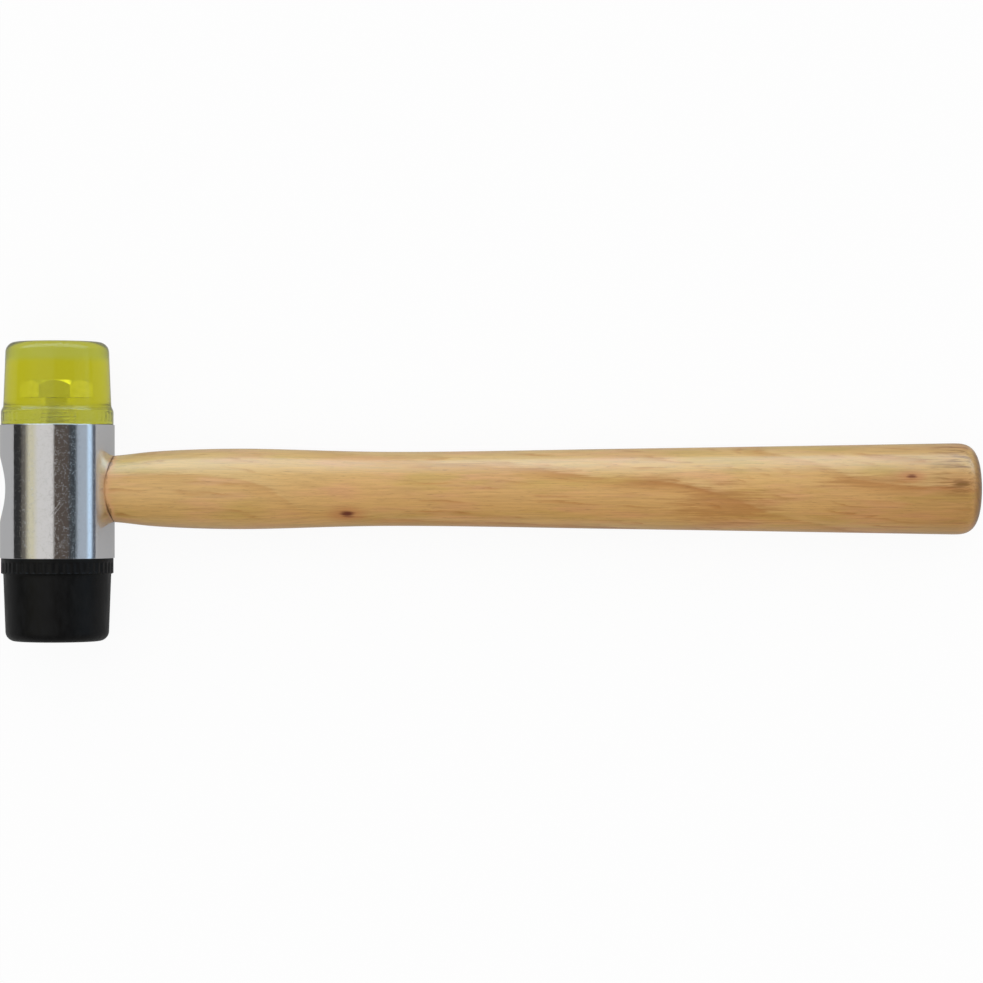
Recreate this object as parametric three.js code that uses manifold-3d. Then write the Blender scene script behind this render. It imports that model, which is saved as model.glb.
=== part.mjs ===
// Double-faced mallet: a plated steel barrel, two screw-on faces and a wedged wooden handle.
// Millimetres. It lies on a table as it was photographed from above: +X runs along the handle
// to its butt, +Y points out of the hard face and +Z is up.
import * as THREE from 'three';
import { mergeVertices } from 'three/addons/utils/BufferGeometryUtils.js';
import Module from 'manifold-3d';

const wasm = await Module();
wasm.setup();

// Driving dimensions: barrel
const barrelDiameter = 34.8;
const barrelEdgeRound = 0.8;

// Driving dimensions: eye, the oval hole that takes the handle, and the steel left beyond each end of it
const eyeHeight = 19;
const eyeWidth = 17.4;
const eyeFlare = 0.9;
const eyeFlareDepth = 2.4;
const eyeFlareCurve = 1.5;
const hardLand = 10;
const softLand = 11.6;

// Driving dimensions: faces, set in from the barrel's skin and stepping in again above the collar
const faceHeight = 25;
const collarSetback = 0.35;
const collarStep = 0.7;
const faceTaper = 0.65;
const collarHeight = 4.4;
const collarLip = 0.8;
const hardEdgeRound = 2.8;
const softEdgeRound = 3;
const ribCount = 48;
const ribDepth = 0.4;

// Driving dimensions: face bolts, M8 by 16 with a fully threaded shank
const threadDiameter = 8;
const threadPitch = 1.25;
const threadDepth = 0.75;
const threadFlank = 0.44;
const threadCrest = 0.19;
const boltTipGap = 1.9;
const boltTipChamfer = 0.9;
const headAcrossFlats = 13;
const headHeight = 5.3;
const headSeat = 7.6;

// Driving dimensions: handle, as heights across the section and the lengths between them
const neckLedge = 1.3;
const neckLength = 12.6;
const shoulderHeight = 22.9;
const shoulderLength = 24;
const bellyHeight = 24.6;
const bellyLength = 47;
const waistHeight = 22.7;
const waistLength = 71;
const gripHeight = 24.6;
const gripLength = 64;
const swellHeight = 26.7;
const swellLength = 38.1;
const buttHeight = 28;
const buttThickness = 23.4;
const buttRound = 8.5;
const buttSquareness = 3.2;

// Driving dimensions: wedges in the tenon
const tenonRecess = 0.5;
const woodWedgeDepth = 18;
const woodWedgeThickness = 3.2;
const woodWedgeEdge = 1;
const steelWedgeDepth = 9;
const steelWedgeThickness = 2;
const steelWedgeEdge = 0.6;
const steelWedgeSideMargin = 4.2;
const steelWedgeEndMargin = 4.9;

// Clearance between pieces that touch
const fitGap = 0.3;

// How near two points lie to be one, and how far a cutter runs past what it cuts
const weldDistance = 1e-5;
const overrun = 4 * fitGap;

// Facets
const roundSegments = 64;
const boreSegments = 32;
const threadSegments = 16;
const handleSegments = 40;
const arcSteps = 5;
const pointsPerRib = 4;
const stepsPerStation = 4;
const buttSteps = 8;

// Sizes that follow from the driving ones
const barrelRadius = barrelDiameter / 2;
const barrelLength = hardLand + eyeHeight + softLand;
const barrelEnd = barrelLength / 2;
const eyeShift = (softLand - hardLand) / 2;
const eyeFlank = Math.sqrt(barrelRadius ** 2 - (eyeWidth / 2) ** 2);
const collarRadius = barrelRadius - collarSetback;
const faceRootRadius = collarRadius - collarStep;
const faceTipRadius = faceRootRadius - faceTaper;
const boreRadius = threadDiameter / 2 + fitGap;
const boltReach = Math.min(hardLand, softLand) - boltTipGap;
const headRadius = headAcrossFlats / Math.sqrt(3);
const tenonHeight = eyeHeight - 2 * fitGap;
const tenonWidth = eyeWidth - 2 * fitGap;
const tenonEnd = eyeFlank - tenonRecess;
const neckHeight = eyeHeight + neckLedge;
const shoulderDistance = barrelRadius + neckLength;
const bellyDistance = shoulderDistance + shoulderLength;
const waistDistance = bellyDistance + bellyLength;
const gripDistance = waistDistance + waistLength;
const swellDistance = gripDistance + gripLength;
const buttDistance = swellDistance + swellLength;
const handleReach = buttDistance + buttRound;
const steelWedgeWidth = eyeWidth - 2 * steelWedgeSideMargin;
const steelWedgeOffset = eyeHeight / 2 - steelWedgeEndMargin;

// Turns a closed geometry into a solid: shared points merged, slivers at the poles dropped.
function toSolid(geometry) {
  geometry.deleteAttribute('normal');
  geometry.deleteAttribute('uv');
  const merged = mergeVertices(geometry, weldDistance);
  const corners = merged.index.array;
  const kept = [];
  for (let i = 0; i < corners.length; i += 3) {
    const [a, b, c] = corners.slice(i, i + 3);
    if (a !== b && b !== c && c !== a) kept.push(a, b, c);
  }
  const mesh = new wasm.Mesh({
    numProp: 3,
    vertProperties: new Float32Array(merged.attributes.position.array),
    triVerts: new Uint32Array(kept),
  });
  mesh.merge();
  return new wasm.Manifold(mesh);
}

function toMesh(name, solid, finish) {
  const { vertProperties, triVerts } = solid.getMesh();
  const geometry = new THREE.BufferGeometry();
  geometry.setAttribute('position', new THREE.BufferAttribute(vertProperties, 3));
  geometry.setIndex(new THREE.BufferAttribute(triVerts, 1));
  geometry.computeVertexNormals();
  const mesh = new THREE.Mesh(geometry, new THREE.MeshStandardMaterial(finish));
  mesh.name = name;
  return mesh;
}

// A turned solid about Y, from [radius, height] pairs that run from the axis up to the axis.
function turned(profile, segments) {
  const points = profile.map(([radius, height]) => new THREE.Vector2(radius, height));
  return new THREE.LatheGeometry(points, segments);
}

// A plain round about Y between two heights.
function round(radius, from, to, segments) {
  return turned([[0, from], [radius, from], [radius, to], [0, to]], segments);
}

// A quarter turn of edge rounding: an outside corner of a turned profile, from its side to its top.
function edgeArc(radius, top, size) {
  const arc = [];
  for (let step = 0; step <= arcSteps; step += 1) {
    const angle = (step / arcSteps) * (Math.PI / 2);
    arc.push([radius - size + size * Math.cos(angle), top - size + size * Math.sin(angle)]);
  }
  return arc;
}

// A block with a tapered profile along X and Y, set square across Z and centred on Z.
function wedgeBlock(thickness, edge, depth, width) {
  const outline = new THREE.Shape();
  outline.moveTo(0, -thickness / 2);
  outline.lineTo(depth, -edge / 2);
  outline.lineTo(depth, edge / 2);
  outline.lineTo(0, thickness / 2);
  outline.closePath();
  const block = new THREE.ExtrudeGeometry(outline, { depth: width, bevelEnabled: false });
  return block.translate(0, 0, -width / 2);
}

// Barrel

function barrelSolid() {
  const upper = edgeArc(barrelRadius, barrelEnd, barrelEdgeRound);
  const lower = upper.map(([radius, height]) => [radius, -height]).reverse();
  const blank = toSolid(turned([[0, -barrelEnd], ...lower, ...upper, [0, barrelEnd]], roundSegments));
  const eyed = blank.subtract(toSolid(eyeCutter()));
  const bore = round(boreRadius, -barrelEnd - overrun, barrelEnd + overrun, boreSegments);
  return eyed.subtract(toSolid(bore));
}

// The eye's mouths open out towards the barrel's skin.
function eyeCutter() {
  const flareStart = eyeFlank - eyeFlareDepth;
  const flareRun = barrelRadius - flareStart;
  const reach = barrelRadius + overrun;
  const stations = [-reach, -barrelRadius];
  for (let step = 1; step < arcSteps; step += 1) {
    stations.push(-barrelRadius + (flareRun * step) / arcSteps);
  }
  stations.push(-flareStart);
  const mirrored = stations.map((x) => -x).reverse();
  const profile = [...stations, ...mirrored].map((x) => {
    const share = Math.max(0, (Math.abs(x) - flareStart) / flareRun);
    return [1 + (eyeFlare * share ** eyeFlareCurve) / (eyeHeight / 2), x];
  });
  const cutter = turned([[0, -reach], ...profile, [0, reach]], handleSegments).rotateZ(-Math.PI / 2);
  return cutter.scale(1, eyeHeight / 2, eyeWidth / 2).translate(0, eyeShift, 0);
}

// Faces and their bolts: Y = 0 is the seat on the barrel's end, and +Y runs out to the striking end.

function faceSolid(edgeRound) {
  const body = toSolid(turned([
    [0, 0],
    [collarRadius, 0],
    [collarRadius, collarLip],
    [faceRootRadius, collarLip],
    [faceRootRadius, collarHeight],
    ...edgeArc(faceTipRadius, faceHeight, edgeRound),
    [0, faceHeight],
  ], roundSegments));
  const pocketFloor = headSeat - fitGap;
  const pocketRoof = headSeat + headHeight + fitGap;
  const pocket = toSolid(turned([
    [0, -overrun],
    [boreRadius, -overrun],
    [boreRadius, pocketFloor],
    [headRadius + fitGap, pocketFloor],
    [headRadius + fitGap, pocketRoof],
    [0, pocketRoof],
  ], boreSegments));
  return body.add(toSolid(collarRibs())).subtract(pocket);
}

// The grip ribs round the collar, as one scalloped ring of the collar's height.
function collarRibs() {
  const middle = collarRadius - ribDepth / 2;
  const outline = new THREE.Shape();
  for (let step = 0; step < ribCount * pointsPerRib; step += 1) {
    const angle = (step / (ribCount * pointsPerRib)) * 2 * Math.PI;
    const radius = middle + (ribDepth / 2) * Math.cos((step / pointsPerRib) * 2 * Math.PI);
    const x = radius * Math.cos(angle);
    const y = radius * Math.sin(angle);
    if (step === 0) outline.moveTo(x, y);
    else outline.lineTo(x, y);
  }
  outline.closePath();
  const depth = collarHeight - collarLip / 2;
  const ring = new THREE.ExtrudeGeometry(outline, { depth, bevelEnabled: false });
  return ring.rotateX(-Math.PI / 2).translate(0, collarLip / 2, 0);
}

function boltSolid() {
  const tip = -fitGap - boltReach;
  const crest = threadDiameter / 2;
  const root = crest - threadDepth;
  const headTop = headSeat + headHeight;
  const envelope = toSolid(turned([
    [0, tip],
    [crest - boltTipChamfer, tip],
    [crest, tip + boltTipChamfer],
    [crest, headSeat + headHeight / 2],
    [0, headSeat + headHeight / 2],
  ], boreSegments));
  const shank = toSolid(helicalThread(crest, root, tip, headTop)).intersect(envelope);
  const flatUp = Math.PI / 6;
  const hexagon = toSolid(round(headRadius, headSeat, headTop, 6).rotateY(flatUp));
  const chamferRise = (headRadius - headAcrossFlats / 2) * Math.tan(Math.PI / 6);
  const crown = toSolid(turned([
    [0, headSeat],
    [headRadius, headSeat],
    [headRadius, headTop - chamferRise],
    [headAcrossFlats / 2, headTop],
    [0, headTop],
  ], boreSegments));
  return hexagon.intersect(crown).add(shank);
}

// A screw thread about Y: every row of points climbs one pitch a turn, so a row that has gone
// round once runs on into the row of the same kind one pitch higher.
function helicalThread(crest, root, from, to) {
  const rows = [[0, root], [threadFlank, crest], [threadFlank + threadCrest, crest]];
  const start = from - 2 * threadPitch;
  const rowTotal = Math.ceil((to - start) / threadPitch) * rows.length;
  const points = [];
  for (let row = 0; row <= rowTotal + rows.length; row += 1) {
    const [rise, radius] = rows[row % rows.length];
    const foot = start + Math.floor(row / rows.length) * threadPitch + rise;
    for (let side = 0; side < threadSegments; side += 1) {
      const turn = side / threadSegments;
      const angle = turn * 2 * Math.PI;
      points.push(radius * Math.sin(angle), foot + turn * threadPitch, radius * Math.cos(angle));
    }
  }
  const at = (row, side) => {
    const lap = side === threadSegments ? rows.length : 0;
    return (row + lap) * threadSegments + (side % threadSegments);
  };
  const faces = [];
  for (let row = 0; row < rowTotal; row += 1) {
    for (let side = 0; side < threadSegments; side += 1) {
      faces.push(at(row, side), at(row, side + 1), at(row + 1, side + 1));
      faces.push(at(row, side), at(row + 1, side + 1), at(row + 1, side));
    }
  }
  const footCentre = points.length / 3;
  points.push(0, start, 0);
  const topCentre = footCentre + 1;
  points.push(0, start + (rowTotal / rows.length + 1) * threadPitch, 0);
  for (let side = 0; side < threadSegments; side += 1) {
    faces.push(footCentre, at(0, side + 1), at(0, side));
    faces.push(topCentre, at(rowTotal, side), at(rowTotal, side + 1));
  }
  for (let row = 0; row < rows.length; row += 1) {
    faces.push(footCentre, at(row, 0), at(row + 1, 0));
    faces.push(topCentre, at(rowTotal + row + 1, 0), at(rowTotal + row, 0));
  }
  const geometry = new THREE.BufferGeometry();
  geometry.setAttribute('position', new THREE.Float32BufferAttribute(points, 3));
  geometry.setIndex(faces);
  return geometry;
}

// Handle

// Half heights along the handle: a smooth line through the named stations, then the rounded butt.
function handleOutline() {
  const stations = [
    [0, eyeHeight],
    [barrelRadius, neckHeight],
    [shoulderDistance, shoulderHeight],
    [bellyDistance, bellyHeight],
    [waistDistance, waistHeight],
    [gripDistance, gripHeight],
    [swellDistance, swellHeight],
    [buttDistance, buttHeight],
  ];
  const knots = stations.map(([distance, height]) => new THREE.Vector3(height / 2, distance, 0));
  const side = new THREE.CatmullRomCurve3(knots, false, 'centripetal');
  const outline = side.getPoints(stepsPerStation * (knots.length - 1)).map(({ x, y }) => [x, y]);
  for (let step = 1; step <= buttSteps; step += 1) {
    const angle = (step / buttSteps) * (Math.PI / 2);
    const radius = (buttHeight / 2) * Math.max(0, Math.cos(angle)) ** (2 / buttSquareness);
    const distance = buttDistance + buttRound * Math.sin(angle) ** (2 / buttSquareness);
    outline.push([step === buttSteps ? 0 : radius, distance]);
  }
  return outline;
}

// Thickness over height along the handle: as thick as the tenon at the barrel, and the butt's own
// thickness at the butt.
function sectionRatio(distance) {
  const share = THREE.MathUtils.inverseLerp(barrelRadius, buttDistance, distance);
  const along = THREE.MathUtils.clamp(share, 0, 1);
  return THREE.MathUtils.lerp(tenonWidth / neckHeight, buttThickness / buttHeight, along);
}

function shaftBar() {
  const shaft = turned([[0, 0], ...handleOutline()], handleSegments).rotateZ(-Math.PI / 2);
  const points = shaft.attributes.position;
  for (let i = 0; i < points.count; i += 1) {
    points.setZ(i, points.getZ(i) * sectionRatio(points.getX(i)));
  }
  return shaft.translate(0, eyeShift, 0);
}

// The shaft stops against the barrel's skin, and its tenon fills the eye and takes the wedges.
function handleSolid() {
  const seat = round(barrelRadius + fitGap, -barrelEnd, barrelEnd, roundSegments);
  const tenon = toSolid(tenonBar(-tenonEnd, shoulderDistance));
  let handle = toSolid(shaftBar()).subtract(toSolid(seat)).add(tenon);
  handle = handle.subtract(toSolid(woodWedge(fitGap)));
  for (const side of [1, -1]) {
    handle = handle.subtract(toSolid(steelWedge(side, fitGap)));
  }
  return handle;
}

function tenonBar(from, to) {
  const bar = round(1, from, to, handleSegments).rotateZ(-Math.PI / 2);
  return bar.scale(1, tenonHeight / 2, tenonWidth / 2).translate(0, eyeShift, 0);
}

// The wooden wedge lies along the eye's height, thick at the open end of the tenon.
function woodWedge(gap) {
  const cut = gap > 0;
  const length = eyeHeight + (cut ? overrun : 0);
  const block = wedgeBlock(
    woodWedgeThickness + 2 * gap,
    woodWedgeEdge + 2 * gap,
    woodWedgeDepth + gap,
    length,
  );
  return block.rotateX(Math.PI / 2).translate(-tenonEnd, eyeShift, 0);
}

// A steel wedge is driven square across the wooden one, on the hard face's side or the soft one's.
function steelWedge(side, gap) {
  const block = wedgeBlock(
    steelWedgeThickness + 2 * gap,
    steelWedgeEdge + 2 * gap,
    steelWedgeDepth + gap,
    steelWedgeWidth + 2 * gap,
  );
  return block.translate(-tenonEnd, eyeShift + side * steelWedgeOffset, 0);
}

function woodWedgeSolid() {
  const trim = toSolid(tenonBar(-tenonEnd, -tenonEnd + woodWedgeDepth));
  let wedge = toSolid(woodWedge(0)).intersect(trim);
  for (const side of [1, -1]) {
    wedge = wedge.subtract(toSolid(steelWedge(side, fitGap)));
  }
  return wedge;
}

// The underside of the handle comes down until the butt rests on the table beside the barrel.
function restTilt() {
  const tilts = handleOutline()
    .filter(([, distance]) => distance > handleReach / 2)
    .map(([radius, distance]) => {
      const thickness = radius * sectionRatio(distance);
      const span = Math.hypot(distance, thickness);
      return Math.asin(barrelRadius / span) - Math.atan2(thickness, distance);
    });
  return Math.min(...tilts);
}

// Finishes
const platedSteel = { color: 0xc9cacc, roughness: 0.12, metalness: 1 };
const hardPlastic = { color: 0xb9b823, roughness: 0.25, metalness: 0, transparent: true, opacity: 0.75 };
const blackRubber = { color: 0x1b1b1d, roughness: 0.55, metalness: 0 };
const zincSteel = { color: 0xa9abad, roughness: 0.35, metalness: 1 };
const varnishedWood = { color: 0xd0a25f, roughness: 0.4, metalness: 0 };
const wedgeWood = { color: 0xb98a4c, roughness: 0.6, metalness: 0 };
const wedgeSteel = { color: 0x777a7d, roughness: 0.5, metalness: 1 };

const mallet = new THREE.Group();
mallet.add(toMesh('head_barrel', barrelSolid(), platedSteel));
mallet.add(toMesh('handle', handleSolid(), varnishedWood));
mallet.add(toMesh('wooden_wedge', woodWedgeSolid(), wedgeWood));
mallet.add(toMesh('steel_wedge_hard_side', toSolid(steelWedge(1, 0)), wedgeSteel));
mallet.add(toMesh('steel_wedge_soft_side', toSolid(steelWedge(-1, 0)), wedgeSteel));

const hardEnd = new THREE.Group();
hardEnd.add(toMesh('hard_face', faceSolid(hardEdgeRound), hardPlastic));
hardEnd.add(toMesh('hard_face_bolt', boltSolid(), zincSteel));
hardEnd.position.y = barrelEnd + fitGap;
mallet.add(hardEnd);

const softEnd = new THREE.Group();
softEnd.add(toMesh('soft_face', faceSolid(softEdgeRound), blackRubber));
softEnd.add(toMesh('soft_face_bolt', boltSolid(), zincSteel));
softEnd.rotation.x = Math.PI;
softEnd.position.y = -barrelEnd - fitGap;
mallet.add(softEnd);

// The mallet lies on its barrel and butt, with the middle of its outline over the origin.
mallet.rotation.y = restTilt();
mallet.updateMatrixWorld(true);
const outlineBox = new THREE.Box3().setFromObject(mallet, true);
const middle = outlineBox.getCenter(new THREE.Vector3());
mallet.position.set(-middle.x, -middle.y, -outlineBox.min.z);

const part = new THREE.Group();
part.add(mallet);

export default part;
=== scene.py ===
"""Double-faced mallet: a plated steel barrel with a clear and a rubber face that screw on, and a wooden handle."""
import math

import bmesh
import bpy
import numpy as np
from bpy.props import FloatProperty, FloatVectorProperty, IntProperty, PointerProperty
from mathutils import Matrix, Vector


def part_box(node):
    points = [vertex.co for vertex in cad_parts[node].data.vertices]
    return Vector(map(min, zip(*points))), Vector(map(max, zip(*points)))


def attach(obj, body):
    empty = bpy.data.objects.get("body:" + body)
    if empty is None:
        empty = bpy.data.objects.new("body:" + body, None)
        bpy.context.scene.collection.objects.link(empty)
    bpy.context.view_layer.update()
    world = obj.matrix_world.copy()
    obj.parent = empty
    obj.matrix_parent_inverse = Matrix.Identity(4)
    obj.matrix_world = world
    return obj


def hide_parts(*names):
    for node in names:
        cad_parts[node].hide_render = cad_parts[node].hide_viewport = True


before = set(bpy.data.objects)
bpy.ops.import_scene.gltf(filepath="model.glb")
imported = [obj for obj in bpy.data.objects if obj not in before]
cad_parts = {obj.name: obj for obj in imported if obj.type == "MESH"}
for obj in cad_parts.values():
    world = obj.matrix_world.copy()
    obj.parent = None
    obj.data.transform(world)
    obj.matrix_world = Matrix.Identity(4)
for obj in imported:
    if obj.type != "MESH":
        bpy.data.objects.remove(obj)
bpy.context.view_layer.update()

bl_info = {
    "name": "Double-faced mallet",
    "version": (1, 0, 0),
    "blender": (4, 5, 0),
    "location": "View3D > Sidebar > Mallet",
    "description": "Builds a mallet with two screw-on faces and a wedged wooden handle on its CAD frame",
    "category": "Object",
}

MM = 0.001
BARREL_LOW, BARREL_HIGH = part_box("head_barrel")
HARD_LOW, HARD_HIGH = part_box("hard_face")
HEAD_AXIS = (BARREL_LOW + BARREL_HIGH) / 2
HEAD_RADIUS = (BARREL_HIGH.z - BARREL_LOW.z) / 2


# Properties: sizes and colours that a user would change


def length(millimetres, name, description):
    """A length property, given in millimetres and kept in metres."""
    return FloatProperty(
        name=name, description=description, default=millimetres * MM,
        min=0, precision=5, unit="LENGTH",
    )


def linear(red, green, blue):
    """A screen colour, 0 to 255, as the linear colour that the shaders take."""
    shares = [value / 255 for value in (red, green, blue)]
    return [s / 12.92 if s <= 0.04045 else ((s + 0.055) / 1.055) ** 2.4 for s in shares]


def colour(red, green, blue, name, description):
    return FloatVectorProperty(
        name=name, description=description, default=linear(red, green, blue),
        size=3, min=0, max=1, subtype="COLOR",
    )


class MalletHeadSizes(bpy.types.PropertyGroup):
    """Sizes of the barrel, the faces and their bolts."""

    barrel_radius: length(HEAD_RADIUS / MM, "Barrel radius", "Radius of the plated barrel")
    barrel_end: length(BARREL_HIGH.y / MM, "Barrel end", "From the middle of the head to an end of the barrel")
    barrel_edge: length(0.1, "Barrel edge", "Rounding of the barrel's ends")
    eye_height: length(19, "Eye height", "Height of the oval eye along the barrel")
    eye_width: length(17.4, "Eye width", "Width of the oval eye across the barrel")
    eye_shift: length(0.8, "Eye shift", "How far the eye lies towards the hard face")
    eye_flare: length(0.9, "Eye flare", "How far each mouth of the eye opens out at the skin")
    eye_flare_depth: length(4.7, "Eye flare depth", "How deep the flare of the eye runs")
    eye_lip: length(0.55, "Eye lip", "Rounding of the lip of the eye")
    bore_radius: length(4.3, "Bore radius", "Radius of the tapped hole in each end")
    bore_depth: length(9.6, "Bore depth", "Depth of the tapped hole in each end")
    bore_chamfer: length(0.5, "Bore chamfer", "Chamfer at the mouth of the tapped hole")
    face_height: length((HARD_HIGH.y - HARD_LOW.y) / MM, "Face height", "From the seat of a face to its striking end")
    face_seat: length(0.25, "Face seat", "How far the base of a face reaches down to the barrel")
    collar_radius: length((HARD_HIGH.x - HARD_LOW.x) / 2 / MM, "Collar radius", "Radius of the ribbed collar")
    collar_height: length(4.4, "Collar height", "Height of the ribbed collar")
    hard_slope: length(2.1, "Clear slope", "Height of the sloped step above the clear collar")
    soft_slope: length(0.4, "Rubber slope", "Height of the sloped step above the rubber collar")
    collar_lip: length(0.8, "Collar lip", "Height of the plain rim under the ribs")
    face_root: length(16.35, "Face root", "Radius of the face above its collar")
    face_tip: length(15.7, "Face tip", "Radius of the face at its striking end")
    hard_edge: length(3.2, "Hard edge", "Rounding of the clear face's striking edge")
    soft_edge: length(3, "Soft edge", "Rounding of the rubber face's striking edge")
    rib_count: IntProperty(name="Ribs", description="Ribs round each collar", default=48, min=3)
    hard_rib_depth: length(0.07, "Clear rib depth", "Depth of the grooves between the clear collar's ribs")
    soft_rib_depth: length(0.2, "Rubber rib depth", "Depth of the grooves between the rubber collar's ribs")
    thread_radius: length(4, "Thread radius", "Radius over the thread of a face bolt")
    thread_pitch: length(1.25, "Thread pitch", "Rise of the thread in one turn")
    thread_depth: length(0.75, "Thread depth", "Depth of the thread")
    thread_start: length(4.3, "Thread start", "From the seat of a face to the first turn of the thread")
    bolt_reach: length(8.4, "Bolt reach", "How far a bolt stands out of its face")
    bolt_chamfer: length(0.9, "Bolt chamfer", "Chamfer at the tip of a bolt")
    bolt_flats: length(13, "Across flats", "Width of the bolt's hexagon head")
    bolt_head: length(5.5, "Bolt head", "Height of the bolt's head")
    bolt_seat: length(7.6, "Bolt seat", "From the seat of a face to the underside of its bolt head")


class MalletHandleSizes(bpy.types.PropertyGroup):
    """Sizes of the handle and its wedges; a station is a distance from the barrel's axis."""

    neck_height: length(20.3, "Neck height", "Height of the handle where it leaves the barrel")
    shoulder_at: length(30, "Shoulder station", "Where the shoulder height is taken")
    shoulder_height: length(22.9, "Shoulder height", "Height of the handle at its shoulder")
    belly_at: length(54, "Belly station", "Where the belly height is taken")
    belly_height: length(24.6, "Belly height", "Height of the handle at its belly")
    waist_at: length(101, "Waist station", "Where the waist height is taken")
    waist_height: length(22.7, "Waist height", "Height of the handle at its waist")
    grip_at: length(172, "Grip station", "Where the grip height is taken")
    grip_height: length(24.6, "Grip height", "Height of the handle at its grip")
    swell_at: length(236, "Swell station", "Where the swell height is taken")
    swell_height: length(26.7, "Swell height", "Height of the handle at its swell")
    butt_at: length(274.1, "Butt station", "Where the rounding of the butt starts")
    butt_height: length(28, "Butt height", "Height of the handle at its butt")
    butt_thickness: length(23.4, "Butt thickness", "Thickness of the handle at its butt")
    butt_round: length(8.5, "Butt round", "Length of the rounded butt")
    butt_square: FloatProperty(
        name="Butt squareness", description="Power of the curve that rounds the butt", default=3.2, min=1
    )
    shoulder_gap: length(0.06, "Shoulder gap", "Gap between the handle's shoulder and the barrel")
    shoulder_round: length(0.1, "Shoulder round", "Rounding of the handle's shoulder against the barrel")
    tenon_height: length(18.4, "Tenon height", "Height of the tenon in the eye")
    tenon_width: length(16.8, "Tenon width", "Width of the tenon in the eye")
    tenon_end: length(14.57, "Tenon end", "From the barrel's axis to the open end of the tenon")
    wood_wedge_depth: length(18, "Wooden wedge depth", "How deep the wooden wedge goes")
    wood_wedge_thickness: length(3.2, "Wooden wedge thickness", "Thickness of the wooden wedge at its head")
    wood_wedge_edge: length(1, "Wooden wedge edge", "Thickness of the wooden wedge at its point")
    steel_wedge_depth: length(9, "Steel wedge depth", "How deep a steel wedge goes")
    steel_wedge_thickness: length(2, "Steel wedge thickness", "Thickness of a steel wedge at its head")
    steel_wedge_edge: length(0.6, "Steel wedge edge", "Thickness of a steel wedge at its point")
    steel_wedge_width: length(9, "Steel wedge width", "Width of a steel wedge")
    steel_wedge_offset: length(4.6, "Steel wedge offset", "From the middle of the eye to a steel wedge")
    wedge_gap: length(0.12, "Wedge gap", "Gap between a wedge and the wood round it")


class MalletColours(bpy.types.PropertyGroup):
    """Colours of the finishes."""

    plating: colour(232, 232, 234, "Plating", "Tint of the bright plating")
    wood_pale: colour(209, 170, 110, "Pale wood", "Pale early wood")
    wood_honey: colour(207, 161, 96, "Honey wood", "The handle's main colour")
    wood_amber: colour(194, 142, 76, "Amber wood", "Late wood before the end of a growth ring")
    wood_streak: colour(178, 120, 58, "Wood streak", "Dark line at the end of a growth ring")
    wood_pink: colour(210, 155, 104, "Pink wood", "Pinkish patches of the wood")
    wood_olive: colour(192, 154, 80, "Olive wood", "Yellowish green patches of the wood")
    wood_red: colour(178, 108, 62, "Red wood", "Reddish wood round a knot")
    wood_knot: colour(96, 36, 8, "Knot", "Heart of a pin knot")
    # End grain colour, also used for the painted shade and stain where the wood meets the barrel
    wood_end: colour(98, 64, 30, "End grain", "Wood at the rounded butt and at the barrel")
    wood_crack: colour(130, 90, 34, "Wood crack", "Fine cracks near the butt")
    wedge_wood: colour(170, 126, 74, "Wedge wood", "Raw wood of the wedge")
    wedge_steel: colour(120, 120, 122, "Wedge steel", "Dull steel of the wedges")
    plastic: colour(255, 255, 130, "Clear plastic", "Tint of the clear face's skin")
    # Paler tint at the clear face's end is painted light; at its collar it is haze
    plastic_lit_end_and_haze: colour(244, 252, 180, "Plastic end", "Paler tint near the clear face's striking end and collar")
    plastic_depth: colour(232, 230, 48, "Plastic depth", "Colour left in light that crosses the clear face")
    rubber: colour(14, 14, 14, "Rubber", "Black rubber of the soft face")
    zinc: colour(252, 252, 250, "Zinc", "Zinc plating of the bolts")
    floor: colour(232, 232, 232, "Floor", "The pale surface that the mallet lies on")


# Mesh building


WELD_DISTANCE = 1e-7


def shell_mesh(name, shells, sharp_degrees=40):
    """One welded, outward-facing mesh from shells, each a list of closed rows of points.

    A row of one point is a pole.
    """
    made = bmesh.new()
    for rows in shells:
        corners = [[made.verts.new(point) for point in row] for row in rows]
        for lower, upper in zip(corners, corners[1:]):
            count = max(len(lower), len(upper))
            for i in range(count):
                k = (i + 1) % count
                quad = [lower[i % len(lower)], lower[k % len(lower)], upper[k % len(upper)], upper[i % len(upper)]]
                made.faces.new(list(dict.fromkeys(quad)))
    bmesh.ops.remove_doubles(made, verts=made.verts, dist=WELD_DISTANCE)
    bmesh.ops.recalc_face_normals(made, faces=made.faces)
    return mesh_from(made, name, sharp_degrees)


def mesh_from(made, name, sharp_degrees):
    mesh = bpy.data.meshes.new(name)
    made.to_mesh(mesh)
    made.free()
    mesh.polygons.foreach_set("use_smooth", [True] * len(mesh.polygons))
    mesh.set_sharp_from_angle(angle=math.radians(sharp_degrees))
    return mesh


def turned_rows(profile, sides):
    """Rows of a turned shape about Y from pairs of radius and height."""
    angles = [2 * math.pi * i / sides for i in range(sides)]
    return [
        [(r * math.sin(a), h, r * math.cos(a)) for a in angles] if r > 0 else [(0, h, 0)]
        for r, h in profile
    ]


def edge_arc(radius, height, size, steps):
    """Pairs of radius and height round an outside corner, from the side to the top."""
    turns = [math.pi / 2 * i / steps for i in range(steps + 1)]
    return [(radius - size + size * math.cos(t), height - size + size * math.sin(t)) for t in turns]


def spaced(start, end, count):
    """Even steps from a start, which is left out, to an end."""
    return [start + (end - start) * step / count for step in range(1, count + 1)]


def new_piece(name, mesh, place):
    """An object at the origin whose mesh is moved to its place."""
    mesh.transform(place)
    piece = bpy.data.objects.new(name, mesh)
    bpy.context.scene.collection.objects.link(piece)
    return piece


def made_mesh(piece, name):
    """The evaluated mesh of a piece, as a plain mesh without modifiers."""
    graph = bpy.context.evaluated_depsgraph_get()
    mesh = bpy.data.meshes.new_from_object(
        piece.evaluated_get(graph), preserve_all_data_layers=True, depsgraph=graph
    )
    mesh.name = name
    return mesh


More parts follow.
